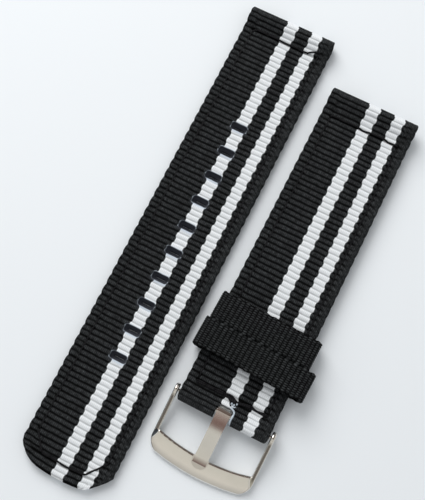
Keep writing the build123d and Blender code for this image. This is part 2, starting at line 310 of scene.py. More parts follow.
stripes = ((-1.55, 1.4), (4.95, 7.65))
strap_cloth = weave_material(
    "striped_nylon", rib, yarn, (0.0275, 0.0295, 0.031), stripes, (0.87, 0.9, 0.925), 0.45
)
keeper_cloth = weave_material("keeper_nylon", keeper_rib, 2 * keeper_yarn, (0.033, 0.0355, 0.037))
thread_cloth = thread_material()
melted = melt_material()
polish = ((0.8, 0.78, 0.74), 0.06, 0.11)
# painted reflection: the middle of each arm darker
frame_metal = metal_material("frame_metal", *polish, arm_painted_reflection, (0.19, 0.17, 0.155))
# painted reflection: the tongue's tip darker towards its end
tongue_metal = metal_material("tongue_metal", *polish, tongue_tip_painted_reflection, (0.2, 0.125, 0.11))
bar_metal = metal_material("bar_metal", (0.62, 0.62, 0.61), 0.18, 0.3)

# MESHES


def new_object(name, data):
    made = bpy.data.objects.new(name, data)
    bpy.context.scene.collection.objects.link(made)
    return made


class Build:
    """Collects vertices and faces in mm, with the place on the band that each vertex has."""

    def __init__(self):
        self.points, self.marks, self.faces, self.count = [], [], [], 0

    def add(self, points, along, across, depth=0.0, melt=0.0):
        """Adds points of shape (..., 3) and gives back their numbers in the same shape."""
        shape = points.shape[:-1]
        self.points.append(points.reshape(-1, 3))
        marks = [np.broadcast_to(v, shape).reshape(-1) for v in (along, across, depth, melt)]
        self.marks.append(np.stack(marks, -1))
        number = self.count + np.arange(marks[0].size).reshape(shape)
        self.count += marks[0].size
        return number

    def quads(self, grid, wrap_rows=False, keep=None, flip=False):
        """Faces between the rows and columns of a grid of vertex numbers."""
        below = np.roll(grid, -1, 0) if wrap_rows else grid[1:]
        upper = grid if wrap_rows else grid[:-1]
        faces = np.stack([upper[:, :-1], upper[:, 1:], below[:, 1:], below[:, :-1]], -1)
        if flip:
            faces = faces[..., ::-1]
        faces = faces[keep] if keep is not None else faces
        self.faces.append(faces.reshape(-1, 4))

    def object(self, name, cloth, body, slot, replaced=(), weld=0.0005):
        points = np.concatenate(self.points) * mm
        marks = np.concatenate(self.marks)
        faces = np.concatenate(self.faces)
        mesh = bpy.data.meshes.new(name)
        mesh.vertices.add(len(points))
        mesh.vertices.foreach_set("co", points.astype(np.float32).ravel())
        mesh.loops.add(faces.size)
        mesh.loops.foreach_set("vertex_index", faces.astype(np.int32).ravel())
        mesh.polygons.add(len(faces))
        mesh.polygons.foreach_set("loop_start", np.arange(0, faces.size, 4, dtype=np.int32))
        for k, key in enumerate(("along", "across", "depth", "melt")):
            values = mesh.attributes.new(key, "FLOAT", "POINT").data
            values.foreach_set("value", marks[:, k].astype(np.float32))
        mesh.update(calc_edges=True)
        mesh.validate()
        if weld:
            work = bmesh.new()
            work.from_mesh(mesh)
            bmesh.ops.remove_doubles(work, verts=work.verts, dist=weld * mm)
            loose = [v for v in work.verts if not v.link_faces]
            bmesh.ops.delete(work, geom=loose, context="VERTS")
            bmesh.ops.recalc_face_normals(work, faces=work.faces)
            work.to_mesh(mesh)
            work.free()
        mesh.shade_smooth()
        mesh.materials.append(cloth)
        made = new_object(name, mesh)
        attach(made, body)
        if replaced:
            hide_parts(*replaced)


def hill(x, middle, width):
    return np.exp(-(((x - middle) / width) ** 2))


def ramp(x, start, end):
    t = np.clip((x - start) / (end - start), 0, 1)
    return t * t * (3 - 2 * t)


def sway(x, s):
    """Slow wandering of the ribs, in parts of a rib."""
    slow = 0.035 * np.sin(0.31 * s + 0.25 * x + 1.0) + 0.03 * np.sin(0.83 * s - 0.4 * x + 0.5)
    return slow + 0.02 * np.sin(1.9 * x + 0.21 * s)


def rib_height(x, s, pitch, power=0.8):
    """0 on a rib's crest and -1 in the valley beside it."""
    wave = np.abs(np.cos(pi * (s / pitch + sway(x, s))))
    return wave**power - 1

# WEBBING

# The sides of a strap: places from the outer face to the line where the layers meet, and how far in
wall_share = np.array([0.1, 0.3, 0.62, 0.88, 1.0])
wall_inset = np.array([0.05, 0.0, 0.0, 0.1, 0.3])
edge_inset = 0.18  # of the outermost columns
hole_band = (-2.9, 2.3)  # where the columns stand closer
side_band = 2.2  # where the columns follow their own edge
cut_run = 0.9  # closer rows at the heat-cut end
nose_run = (0.2, 2.2)  # the relief grows over this distance from a fold's end
layer_gap = 0.16  # beside a tunnel, to each side of the line where the layers meet
corner_run, corner_depth = 0.9, 0.4  # rounding of the folds' corners
selvedge = 0.22  # height of the selvedges' bumps
knot_start = (-0.1, 0.35)  # from the edge row, where single ribs turn into knots
plait_start, plait_share = (7.5, 7.9), 0.6
channels_start, channels_end = (5.0, 6.5), (6.5, 5.5)  # of the edge rows, from each end
channel_width, needle_depth, cross_depth = 0.25, 0.09, 0.16
cross_fade = 0.5  # beyond the edge rows
melted_run, melted_depth = 0.5, 0.12  # at the heat-cut end
bumps_end = (6.5, 5.2)  # distances from the tip between which the selvedges' bumps fade
flare_at, flare_size, flare_width = 5.3, 0.14, 0.35
tip_left_r, tip_right_run, tip_right_cut = 5.2, 5.6, 4.4
crown, crown_half, crown_reach = 0.5, 6.3, 5.0  # the tip's bow: depth, width and length
hole_corner_r = 0.62
hole_fade = 0.28  # the ribs fade this near to a hole
rim_lift, rim_width = 0.03, 0.2
side_shade = 0.24  # the sides are as dark inside as if they lay this much deeper
slot_sides = (tongue_shift - slot_half, tongue_shift + slot_half)


class Fold:
    """The side view of a strap near one of its folds. a is the distance from the fold's end."""

    def __init__(self, foot, soft):
        self.foot, self.soft = foot, soft
        reach = hypot(foot - fold_r, strap_thick - fold_r)
        aim = atan2(strap_thick - fold_r, foot - fold_r) + acos(fold_r / reach)
        self.touch = fold_r + fold_r * cos(aim)
        rise = fold_r + fold_r * sin(aim) - strap_thick
        self.slope = rise / (foot - self.touch)
        self.near = fold_r + tunnel_r

    def top(self, a):
        bend = np.log1p(np.exp(np.clip((self.foot - a) / self.soft, -40, 40)))
        line = strap_thick + self.slope * self.soft * bend
        circle = fold_r + np.sqrt(np.clip(fold_r**2 - (a - fold_r) ** 2, 0, None))
        return np.where(a < self.touch, np.minimum(circle, line), line)

    def opening(self, a):
        """0 where the layers lie together and 1 at the tunnel."""
        return np.clip((self.foot - a) / (self.foot - self.near), 0, 1)

    def parting(self, a):
        return layer + (fold_r - layer) * self.opening(a)

    def nose(self, step):
        """Points round the fold's end from top to bottom, all nearer than near: place, normal and the
        angle round the tunnel of the point of the tunnel that faces each."""
        start = acos(tunnel_r / fold_r)
        turn = np.linspace(start, 1.5 * pi, int(fold_r * (1.5 * pi - start) / step) + 1)[1:]
        normal = np.stack([np.cos(turn), np.sin(turn)], -1)
        place = fold_r + fold_r * normal
        flat = np.arange(fold_r + step, self.near - step / 2, step)
        place = np.concatenate([place, np.stack([flat, 0 * flat], -1)])
        normal = np.concatenate([normal, np.stack([0 * flat, 0 * flat - 1], -1)])
        facing = 2 * pi * (np.arange(len(place)) + 1) / (len(place) + 1)
        return place, normal, facing


fold = Fold(visible_foot, fold_soft)


def tip_reach(a, side):
    """Half width of the long strap near its heat-cut tip, rounder on the left than on the right."""
    d = np.clip(long_length - a, 0, None)
    if side < 0:
        r = tip_left_r
        return half - r + np.sqrt(np.clip(r * r - np.clip(r - d, 0, None) ** 2, 0, None))
    t = np.clip(1 - d / tip_right_run, 0, 1) ** 1.25
    return half - tip_right_cut * (1 - (1 - t) ** 0.8)


def hole_level(dx, da):
    """About the distance in mm outside a hole's outline, an oblong with blunt round ends."""
    rx, ra, r = hole_across / 2, hole_along / 2, hole_corner_r
    ax, aa = np.abs(dx) - rx + r, np.abs(da) - ra + r
    return np.hypot(np.clip(ax, 0, None), np.clip(aa, 0, None)) + np.minimum(np.maximum(ax, aa), 0) - r


def nearest_hole(a):
    return hole_first + np.clip(np.round((a - hole_first) / hole_pitch), 0, hole_count - 1) * hole_pitch


def strap_columns(looped):
    """Places across a strap, closer together round the holes, the slot's sides among them."""
    start, end = hole_band
    left, middle = np.linspace(-half + edge_inset, start, 19), np.linspace(start, end, 27)
    columns = np.concatenate([left[:-1], middle[:-1], np.linspace(end, half - edge_inset, 20)])
    for edge in slot_sides if looped else ():
        columns[np.argmin(np.abs(columns - edge))] = edge
    return columns


def strap_rows(length, looped):
    """Distances from the lug fold, closer together on the slopes and at the heat-cut end."""
    step = rib / rib_steps
    rows, a = [], fold.near
    while a < length - (fold.near if looped else 0):
        rows.append(a)
        steep = a < fold.foot or (looped and a > length - fold.foot)
        a += step * (0.75 if steep else 1)
        if not looped and a > length - cut_run:
            break
    if not looped:
        return np.concatenate([rows, length - cut_run * (1 - np.sin(np.linspace(0, pi / 2, 9)))])
    rows, end = np.array(rows), length - fold.near
    rows = fold.near + (rows - fold.near) * (end - fold.near) / (rows[-1] - fold.near)
    rows[np.argmin(np.abs(rows - (length - slot_depth)))] = length - slot_depth
    return rows


def strap_path(rows, length, looped):
    """A strap seen from the side: its outer path up the lug fold, along the top to the far end and
    back along the bottom, what each point faces inside, the normals, and the first point on top."""

    def both(level):
        return np.maximum(level(rows), level(length - rows)) if looped else level(rows)

    slope = np.gradient(both(fold.top), rows)
    lean = np.stack([-slope, np.ones_like(slope)], -1) / np.sqrt(1 + slope**2)[:, None]
    nose, nose_normal, facing = fold.nose(rib / rib_steps)
    tunnel = fold_r + tunnel_r * np.stack([np.cos(facing), np.sin(facing)], -1)
    gap = layer_gap * fold.opening(rows)
    # the nose runs from top to bottom, so it leads the path turned round
    path = [nose[::-1], np.stack([rows, both(fold.top)], -1)]
    inner = [tunnel[::-1], np.stack([rows, both(fold.parting) + gap], -1)]
    normal = [nose_normal[::-1], lean]
    if looped:
        path.append((length, 0) + nose * (-1, 1))
        inner.append((length, 0) + tunnel * (-1, 1))
        normal.append(nose_normal * (-1, 1))
    path.append(np.stack([rows, 0 * rows], -1)[::-1])
    inner.append(np.stack([rows, both(fold.parting) - gap], -1)[::-1])
    normal.append(np.stack([0 * rows, 0 * rows - 1], -1))
    return *(np.concatenate(v) for v in (path, inner, normal)), len(nose)


def relief(x, a, s, level, length, cross_rows, looped):
    """Height of the outer face from its ribs' crests, 0 or less. level is 1 away from the folds' ends."""
    # single ribs, and knots of two ribs outside the stitched rows
    outside = ramp(np.abs(x) - edge_row, *knot_start)
    pairs = rib_height(x, s + 0.5 * rib, 2 * rib, 0.5)
    shifted = rib_height(x, s + 0.15, rib)
    ribs = rib_height(x, s, rib) * (1 - outside) + (0.85 * shifted + 0.25 * pairs) * outside
    # right of the stripes the ribs are plaited: two columns of knots, half a rib apart
    plait = plait_share * ramp(x, *plait_start)
    knots = rib_height(x, s + 0.25 * rib * np.sign(x - edge_row) - 0.5 * (x - edge_row), rib, 0.7)
    ribs = ribs * (1 - plait) + (0.8 * knots + 0.2 * pairs) * plait
    drop = rib_depth * ribs * (0.35 + 0.65 * level)
    end_start, end_stop = channels_end
    stitched = ramp(a, *channels_start) * (1 - ramp(a, length - end_start, length - end_stop))
    depth = needle_depth + needle_depth * np.cos(2 * pi * a / stitch_pitch) + 0.04 * np.sin(5.1 * a)
    for row_x in (-edge_row, edge_row):
        drop -= hill(x, row_x, channel_width) * stitched * depth
    inside = ramp(x, -edge_row - cross_fade, -edge_row) * (1 - ramp(x, edge_row, edge_row + cross_fade))
    for row_a, width in cross_rows:
        drop -= cross_depth * hill(a, row_a, width) * inside
    if not looped:
        drop -= melted_depth * ramp(a, length - melted_run, length)
    return drop


def corner_cut(d):
    """How far the rounding of a fold's corner takes the selvedge in, at a distance from its end."""
    return corner_depth * (1 - np.sqrt(1 - np.clip(1 - d / corner_run, 0, 1) ** 2))


def outline(a, s, level, length, looped):
    """The left and the right selvedge in each row: bumps, the folds' corners and the tip."""
    bump = (selvedge * np.abs(np.sin(0.5 * pi * (s / rib - 0.5))) - selvedge / 2) * level - corner_cut(a)
    if looped:
        bump -= corner_cut(length - a)
        return -half - bump, half + bump
    near_tip = 1 - ramp(a, length - bumps_end[0], length - bumps_end[1])
    flare = flare_size * hill(a, length - flare_at, flare_width)
    return -tip_reach(a, -1) - bump * near_tip - flare, tip_reach(a, 1) + bump * near_tip + flare


def snap_holes(outer, x_real, a_real, centre_x, lug_y):
    """Marks the cells inside the holes, and moves the vertices on their borders to the outlines."""
    middle_a = nearest_hole(a_real)
    dx, da = x_real - hole_shift, a_real - middle_a
    cx = (dx[:-1, :-1] + dx[1:, 1:]) / 2
    ca = (a_real[:-1, :-1] + a_real[1:, 1:]) / 2
    inside = np.zeros_like(dx, bool)
    near = np.abs(np.diff(a_real, axis=0))[:, :-1] < 1
    inside[:-1, :-1] = (hole_level(cx, ca - nearest_hole(ca)) < 0) & near
    around = [np.roll(inside, (di, dk), (0, 1)) for di in (0, 1) for dk in (0, 1)]
    border = np.any(around, axis=0) & ~np.all(around, axis=0)
    e = 1e-3
    for _ in range(3):
        level = hole_level(dx, da)
        gx = (hole_level(dx + e, da) - level) / e
        ga = (hole_level(dx, da + e) - level) / e
        size = np.clip(gx * gx + ga * ga, 0.2, None)
        dx = np.where(border, dx - level * gx / size, dx)
        da = np.where(border, da - level * ga / size, da)
    outer[..., 0] = np.where(border, centre_x + hole_shift + dx, outer[..., 0])
    outer[..., 1] = np.where(border, lug_y - middle_a - da, outer[..., 1])
    x_real[border] = (hole_shift + dx)[border]
    return inside[:-1, :-1]


class Webbing:
    """One strap's webbing as a closed surface folded round its tunnels. Rows run across the strap, one
    after the other round it as seen from the side, and columns run along it. A looped strap is folded
    at both ends."""

    def __init__(self, centre_x, lug_y, base, length, cross_rows, looped):
        self.centre_x, self.lug_y, self.base = centre_x, lug_y, base
        self.length, self.looped, self.build = length, looped, Build()
        self.columns = strap_columns(looped)
        self.flat = strap_rows(length, looped)
        self.path, self.inner, self.normal, self.first_top = strap_path(self.flat, length, looped)
        self.last_top = self.first_top + len(self.flat)
        self.rows = len(self.path)
        # the lug fold's own end is where the distance run is 0
        run = np.concatenate([[0], np.cumsum(np.hypot(*np.diff(self.path, axis=0).T))])
        self.run = run - run[self.first_top // 2]
        loop = self.run[-1] - self.run[0] + np.hypot(*(self.path[0] - self.path[-1]))
        pitch = loop / (2 * round(loop / rib / 2)) if looped else rib
        self.s = self.run[:, None] * (rib / pitch)

        a = self.path[:, :1]
        level = ramp(a, *nose_run) * (ramp(length - a, *nose_run) if looped else 1)
        self.drop = relief(self.columns + 0 * self.s, a, self.s, level, length, cross_rows, looped)
        self.left, self.right = outline(a, self.s, level, length, looped)
        mean_half = (self.right - self.left) / 2
        side = half - side_band, half - edge_inset
        self.x = (2 * (self.columns + half) / strap_width - 1) * mean_half
        self.x += (self.left + mean_half) * ramp(-self.columns, *side)
        self.x += (self.right - mean_half) * ramp(self.columns, *side)
        self.crown, self.melt = np.zeros_like(self.x), np.zeros_like(self.x)
        self.height = self.drop
        if not looped:
            self.crown = -crown * (self.x / crown_half) ** 2 * ramp(a, length - crown_reach, length)
            self.melt_holes(a + self.crown)

    def melt_holes(self, a):
        """Flattens the ribs round the holes and gives the holes raised, melted rims."""
        on_top = np.zeros((self.rows, 1), bool)
        on_top[self.first_top : self.last_top] = True
        q = hole_level(self.x - hole_shift, a - nearest_hole(a))
        ribless = 1 - np.exp(-((np.clip(q, 0, None) / hole_fade) ** 2))
        self.drop = self.drop * (0.25 + 0.75 * ribless)
        # the melted edge is widest below each hole
        below = ramp(a - nearest_hole(a), 0.2, 1.0)
        self.melt = np.exp(-((np.clip(q, 0, None) / (0.12 + 0.3 * below)) ** 2)) * on_top
        self.height = self.drop + rim_lift * np.exp(-((q / rim_width) ** 2)) * on_top

    def world(self, a, z, x):
        return np.stack([self.centre_x + x, self.lug_y - a, self.base + z], -1)

    def add_outer(self):
        a = self.path[:, :1] + self.crown
        lift = self.normal[:, :, None] * self.height[:, None, :]
        self.outer = self.world(a + lift[:, 0], self.path[:, 1:] + lift[:, 1], self.x)
        self.cells = np.ones((self.rows - (not self.looped), len(self.columns) - 1), bool)
        if self.looped:
            # rows of the slot are one run, from the top's far end over the far fold to the bottom
            end = int(np.argmin(np.abs(self.flat - (self.length - slot_depth))))
            self.slot_run = self.first_top + end, self.last_top + self.first_top + len(self.flat) - 1 - end
            self.slot_columns = [int(np.argmin(np.abs(self.columns - edge))) for edge in slot_sides]
            self.cells[slice(*self.slot_run), slice(*self.slot_columns)] = False
        else:
            self.cells &= ~snap_holes(self.outer, self.x, a, self.centre_x, self.lug_y)
        self.number = self.build.add(self.outer, self.s, self.x, self.drop, self.melt)
        self.build.quads(self.number, wrap_rows=self.looped, keep=self.cells)

    def add_sides(self):
        """The sides, from the outer face's edge to the line where the two layers meet."""
        self.chains = []
        share = wall_share[None, :]
        for side, column, edge in ((1, -1, self.right), (-1, 0, self.left)):
            place = self.path[:, None, :] * (1 - share[..., None]) + self.inner[:, None, :] * share[..., None]
            lift = self.height[:, [column]] * (1 - share)
            a_wall = place[..., 0] + self.crown[:, [column]] + self.normal[:, :1] * lift
            z_wall = place[..., 1] + self.normal[:, 1:] * lift
            x_wall = edge - side * wall_inset
            # painted shade: the sides are coloured darker inwards, through the depth they carry
            dim = self.drop[:, [column]] * (1 - share) - side_shade * share**2
            wall = self.build.add(self.world(a_wall, z_wall, x_wall), self.s, x_wall, dim)
            chain = np.concatenate([self.number[:, [column]], wall], 1)
            self.build.quads(chain, wrap_rows=self.looped, flip=side < 0)
            self.chains.append(chain)

    def add_tunnels(self):
        """The inside of the tunnels and of the slopes beside them, cut by the slot."""
        open_row = np.zeros(self.rows, bool)
        open_row[: self.first_top] = True
        open_row[self.last_top : self.rows - len(self.flat)] = True
        for start in (self.first_top, self.rows - len(self.flat)):
            run = slice(start, start + len(self.flat))
            a = self.path[run, 0]
            open_row[run] = (a < fold.foot) | (self.looped & (a > self.length - fold.foot))
        lines = [chain[:, -1] for chain in self.chains]
        if self.looped:
            self.slot_walls = []
            for k in self.slot_columns:
                x = self.columns[k] + 0 * self.run
                self.slot_walls.append(self.build.add(self.world(*self.inner.T, x), self.run, x))
            # the lines run from right to left
            lines[1:1] = self.slot_walls[::-1]
        faces = []
        for i in range(len(self.cells)):
            j = (i + 1) % self.rows
            if not (open_row[i] or open_row[j]):
                continue
            for n, (one, other) in enumerate(zip(lines, lines[1:])):
                in_slot = n == 1 and self.slot_run[0] <= i < self.slot_run[1]
                if not in_slot:
                    faces.append((one[i], other[i], other[j], one[j]))
        self.build.faces.append(np.array(faces))

    def add_slot(self):
        """Sides and ends of the tongue's slot."""
        first, last = self.slot_run
        for k, wall in zip(self.slot_columns, self.slot_walls):
            run = slice(first, last + 1)
            self.build.quads(np.stack([self.number[run, k], wall[run]], 1), flip=k == self.slot_columns[0])
        start, end = self.slot_columns
        self.build.quads(self.number[[first, last], start : end + 1])

    def add_cut_end(self):
        """The heat-cut end, between the last rows of the top and the bottom."""
        top, low = self.last_top - 1, self.last_top
        count = len(wall_share)
        shares = np.concatenate([wall_share, 2 - wall_share[-2::-1]]) / 2
        insets = np.concatenate([wall_inset, wall_inset[-2::-1]]) * 0.5
        between_rows = []
        for n, (share, inset) in enumerate(zip(shares, insets)):
            middle = self.outer[top] * (1 - share) + self.outer[low] * share
            middle[:, 1] += inset - melted_depth
            numbers = self.build.add(middle, self.run[top], self.x[top])
            at = (top, n + 1) if n < count else (low, 2 * count - n - 1)
            numbers[-1], numbers[0] = self.chains[0][at], self.chains[1][at]
            between_rows.append(numbers)
        self.build.quads(np.stack([self.number[top], *between_rows, self.number[low]]))

    def add_hole_walls(self):
        """Walls of the holes, between the same edges of the top and the bottom."""
        gone = ~self.cells
        gone[: self.first_top] = gone[self.last_top - 1 :] = False
        around = np.pad(gone, 1)
        across = self.rows - 1 + self.first_top  # the rows of one place on top and below add up to this
        faces = []
        for i, k in np.argwhere(gone):
            for di, dk, edge in (
                (-1, 0, ((i, k), (i, k + 1))),
                (1, 0, ((i + 1, k + 1), (i + 1, k))),
                (0, -1, ((i + 1, k), (i, k))),
                (0, 1, ((i, k + 1), (i + 1, k + 1))),
            ):
                if not around[i + 1 + di, k + 1 + dk]:
                    (i0, c0), (i1, c1) = edge
                    around_wall = (i0, c0), (i1, c1), (across - i1, c1), (across - i0, c0)
                    faces.append([self.number[place] for place in around_wall])
        self.build.faces.append(np.array(faces))

    def make(self, name, nodes):
        self.add_outer()
        self.add_sides()
        self.add_tunnels()
        if self.looped:
            self.add_slot()
        else:
            self.add_cut_end()
            self.add_hole_walls()
        self.build.object(name, strap_cloth, "straps", "webbing", nodes)


long_place = (long_x, long_lug_y, 0, long_length)
short_place = (short_x, short_lug_y, short_base, short_length)
# the stitched rows across a strap: distance from the lug fold, and width of the channel
long_cross_rows = [(5.5, 0.4), (117.0, 0.4)]
short_cross_rows = [(6.7, 0.4), (76.4, 0.7)]
Webbing(*long_place, long_cross_rows, False).make("long_strap_woven", ["long_strap_webbing"])
Webbing(*short_place, short_cross_rows, True).make("short_strap_woven", ["short_strap_webbing"])

# THREADS

strand_depth = -0.05  # of the melted strand by the slot, which makes it milky
stitch_sink = 0.42
stitch_waver = 0.12
lower_level = 0.06  # the stitches below a strap start this far above its underside
lower_arch = 0.02


def tube(build, line, radius, sides=8, squeeze=1.0):
    """A thread along a line of points in mm."""
    line = np.asarray(line, float)
    ahead = np.gradient(line, axis=0)
    ahead /= np.linalg.norm(ahead, axis=1)[:, None]
    across = np.cross(ahead, (0.0, 0.0, 1.0))
    lengths = np.linalg.norm(across, axis=1)
    across[lengths < 1e-3] = (1.0, 0.0, 0.0)
    across /= np.linalg.norm(across, axis=1)[:, None]
    rise = np.cross(across, ahead)
    turn = np.linspace(0, 2 * pi, sides, endpoint=False)[None, :]
    radius = np.broadcast_to(radius, len(line))[:, None, None]
    ring = line[:, None, :] + radius * np.cos(turn)[..., None] * across[:, None, :]
    ring = ring + squeeze * radius * np.sin(turn)[..., None] * rise[:, None, :]
    run = np.concatenate([[0], np.cumsum(np.linalg.norm(np.diff(line, axis=0), axis=1))])
    number = build.add(ring, run[:, None], turn)
    build.quads(np.concatenate([number, number[:, :1]], 1))


def sewn(build, points, level, up, radius, arch):
    """Lockstitches along a broken line: each rises from its needle hole, lies on the cloth and sinks.
    level gives the cloth's height at each of a row of places."""
    for (xa, ya), (xb, yb) in zip(points, points[1:]):
        run = hypot(xb - xa, yb - ya)
        count = max(1, round(run / stitch_pitch))
        ahead = np.array([xb - xa, yb - ya]) / run
        aside = np.array([-ahead[1], ahead[0]])
        for k in range(count):
            t = np.linspace(0, 1, 13)
            start = np.array([xa, ya]) + ahead * run * k / count
            place = start[None, :] + t[:, None] * ahead * run / count
            place += aside * (stitch_waver * np.sin(pi * t)[:, None] * rng.uniform(-0.8, 0.8))
            lie = np.clip(4.5 * np.sin(pi * t), 0, 1) ** 0.7
            z = level(place) + up * (-stitch_sink + lie * (stitch_sink + arch - radius * 0.5))
            thinned = radius * (0.85 + 0.15 * np.sin(pi * t))
            tube(build, np.column_stack([place, z]), thinned, squeeze=0.8)


def strap_threads(row, points, strap_place, radius, arch):
    """A row's stitches on both faces of a strap. Points are (across, from the lug fold)."""
    centre_x, lug_y, base, length = strap_place
    build = Build()
    placed = [(centre_x + x, lug_y - a) for x, a in points]

    def top(place):
        a = lug_y - place[:, 1]
        z = fold.top(a)
        return base + (np.maximum(z, fold.top(length - a)) if base else z)

    sewn(build, placed, top, 1, radius, arch)
    sewn(build, placed, lambda place: base + lower_level, -1, radius, lower_arch)
    build.object(row + "_sewn", thread_cloth, "straps", "thread", [row], weld=0)


# points of the rows of stitches, (across, from the lug fold)
long_rows = {
    "long_lug_stitch": [
        (-8.6, 6.3), (-7.8, 5.4), (-1.7, 5.35), (0.1, 5.5), (1.4, 5.45), (6.0, 5.4), (7.4, 4.6), (8.4, 4.4),
    ],
    "long_left_edge_stitch": [(-edge_row, 6.3), (-edge_row, 112.3)],
    "long_right_edge_stitch": [(edge_row, 5.2), (edge_row, 112.3)],
    "long_tip_stitch": [
        (-8.65, 112.9), (-5.6, 116.8), (-1.2, 117.0), (1.5, 117.1), (5.3, 116.7), (7.9, 113.3), (8.6, 112.5),
    ],
}
short_rows = {
    "short_lug_stitch": [
        (-8.65, 6.7), (-1.8, 6.55), (-0.3, 6.95), (1.5, 6.6), (4.7, 6.55), (6.1, 6.9), (8.5, 6.75),
    ],
    "short_left_edge_stitch": [(-edge_row, 7.5), (-edge_row, 75.2)],
    "short_right_edge_stitch": [(edge_row, 7.5), (edge_row, 75.2)],
    # the row that closes the buckle's tunnel goes across and comes back
    "short_buckle_stitch": [
        (-8.65, 76.3), (-1.9, 76.2), (-0.9, 76.0), (0.2, 76.15), (1.6, 76.75), (4.8, 76.1), (6.2, 76.5),
        (7.7, 76.3), (8.6, 76.3), (8.5, 76.65), (4.8, 76.45), (1.4, 77.05), (-0.3, 76.55), (-1.9, 76.5),
        (-8.6, 76.7),
    ],
}
# radius of a row's thread, and how far it stands up
row_threads = {"edge": (0.17, 0.02), "lug": (0.24, 0.1), "tip": (0.24, 0.1), "buckle": (0.25, 0.16)}
for strap_place, rows in ((long_place, long_rows), (short_place, short_rows)):
    for row, points in rows.items():
        strap_threads(row, points, strap_place, *row_threads[row.split("_")[-2]])


def short_cord(build, places, radius, lift):
    """A smooth cord over places (across, from the lug fold) of the short strap, on its top."""
    x, a = np.array(places, float).T
    coarse = np.stack([short_x + x, short_lug_y - a, short_base + fold.top(short_length - a) + lift], -1)
    t = np.linspace(0, len(coarse) - 1, 8 * len(coarse))
    line = np.stack([np.interp(t, np.arange(len(coarse)), coarse[:, k]) for k in range(3)], -1)
    for _ in range(4):
        line[1:-1] = (line[:-2] + 2 * line[1:-1] + line[2:]) / 4
    taper = np.clip(np.minimum(t, t[-1] - t) * 2, 0.05, 1) ** 0.5
    tube(build, line, radius * taper, sides=10)


tangle = Build()
short_cord(tangle, [(-1.2, 76.5), (-0.3, 76.6), (0.6, 76.75), (1.5, 76.7)], 0.33, 0.0)
short_cord(tangle, [(-0.6, 76.9), (0.1, 77.0), (0.8, 76.95), (1.6, 76.85), (2.0, 77.2)], 0.28, 0.05)
short_cord(tangle, [(0.15, 77.1), (0.1, 77.5), (0.3, 77.9), (0.6, 78.15)], 0.16, 0.0)
short_cord(tangle, [(0.7, 77.2), (0.8, 77.45), (1.3, 77.4), (1.2, 77.1)], 0.16, 0.05)
tangle.object("thread_tangle_sewn", thread_cloth, "straps", "thread", weld=0)

# the melted strand beside the tongue, three beads of it and an arc below them
strand_places = [
    (0.6, 78.45), (1.1, 78.55), (1.65, 78.8), (1.95, 79.2), (1.95, 79.8), (1.9, 80.4), (1.9, 81.0),
    (1.95, 81.5), (2.1, 82.1),
]
beads = (
    [(0.3, 77.5), (0.5, 77.55), (0.65, 77.7)],
    [(0.9, 77.65), (1.1, 77.6), (1.25, 77.7)],
    [(1.45, 77.25), (1.6, 77.2), (1.75, 77.3)],
)
strand = Build()
short_cord(strand, strand_places, 0.2, 0.05)
for bead in beads:
    short_cord(strand, bead, 0.27, 0.3)
short_cord(strand, [(0.75, 77.95), (1.0, 78.1), (1.4, 78.05), (1.65, 77.75)], 0.13, 0.15)
for marks in strand.marks:
    marks[:, 1:3] = 0, strand_depth
strand.object("slot_melt_strand", melted, "straps", "webbing", weld=0)

# MELTED RIMS, AND SLATE LININGS AS PAINTED SHADE IN THE HOLES

# cross-section of a lining: how far into the hole each point stands, and its height
# the linings narrow almost shut at the bottom: a slate cup put where each hole is in shade
lining_in = np.array([-0.16, -0.07, 0.03, 0.07, 0.14, 0.5, 0.9, 0.93, 0.1, -0.12])
lining_z = np.array([2.06, 2.18, 2.12, 1.8, 1.3, 0.9, 0.5, 0.15, 0.02, 0.2])
linings = Build()
turn = np.linspace(0, 2 * pi, 64, endpoint=False)
for k in range(hole_count):
    waver = 0.02 * np.sin(3 * turn + k) + 0.012 * np.sin(7 * turn + 2 * k)
    wanted = -(lining_in[None, :] + waver[:, None])
    ring_x = np.cos(turn)[:, None] * hole_across / hole_along
    ring_a = np.sin(turn)[:, None]
    low, high = 0 * wanted, 0 * wanted + 2
    for _ in range(30):
        # along each ray to where the level is the wanted one
        reach = (low + high) / 2
        outside = hole_level(ring_x * reach, ring_a * reach) > wanted
        low, high = np.where(outside, low, reach), np.where(outside, reach, high)
    px, pa = ring_x * reach, ring_a * reach
    hole_y = long_lug_y - hole_first - k * hole_pitch
    points = np.stack([long_x + hole_shift + px, hole_y - pa, np.broadcast_to(lining_z, px.shape)], -1)
    number = linings.add(points, pa, px + hole_shift, lining_z[None, :] - strap_thick)
    linings.quads(np.concatenate([number, number[:, :1]], 1), wrap_rows=True)
linings.object("hole_linings", melted, "straps", "webbing", weld=0)

# KEEPERS

keeper_layer = 1.0
keeper_gap = 0.15
keeper_r = 2.0  # of the outer corners
keeper_steps = 8  # rows of vertices for each rib
keeper_columns, keeper_inset = 93, 0.3
keeper_depth, dash_depth, keeper_sag = 0.2, 0.09, 0.12
skew = radians(2.2)
touching_reach = 0.2  # an edge that stands out less than this touches the other keeper
edge_share = np.array([0.12, 0.45, 0.8, 1.0])  # places through an edge, and how far in
edge_depth = np.array([0.12, 0.0, 0.05, 0.2])
seam_aside, seam_margin = 0.8, 0.5


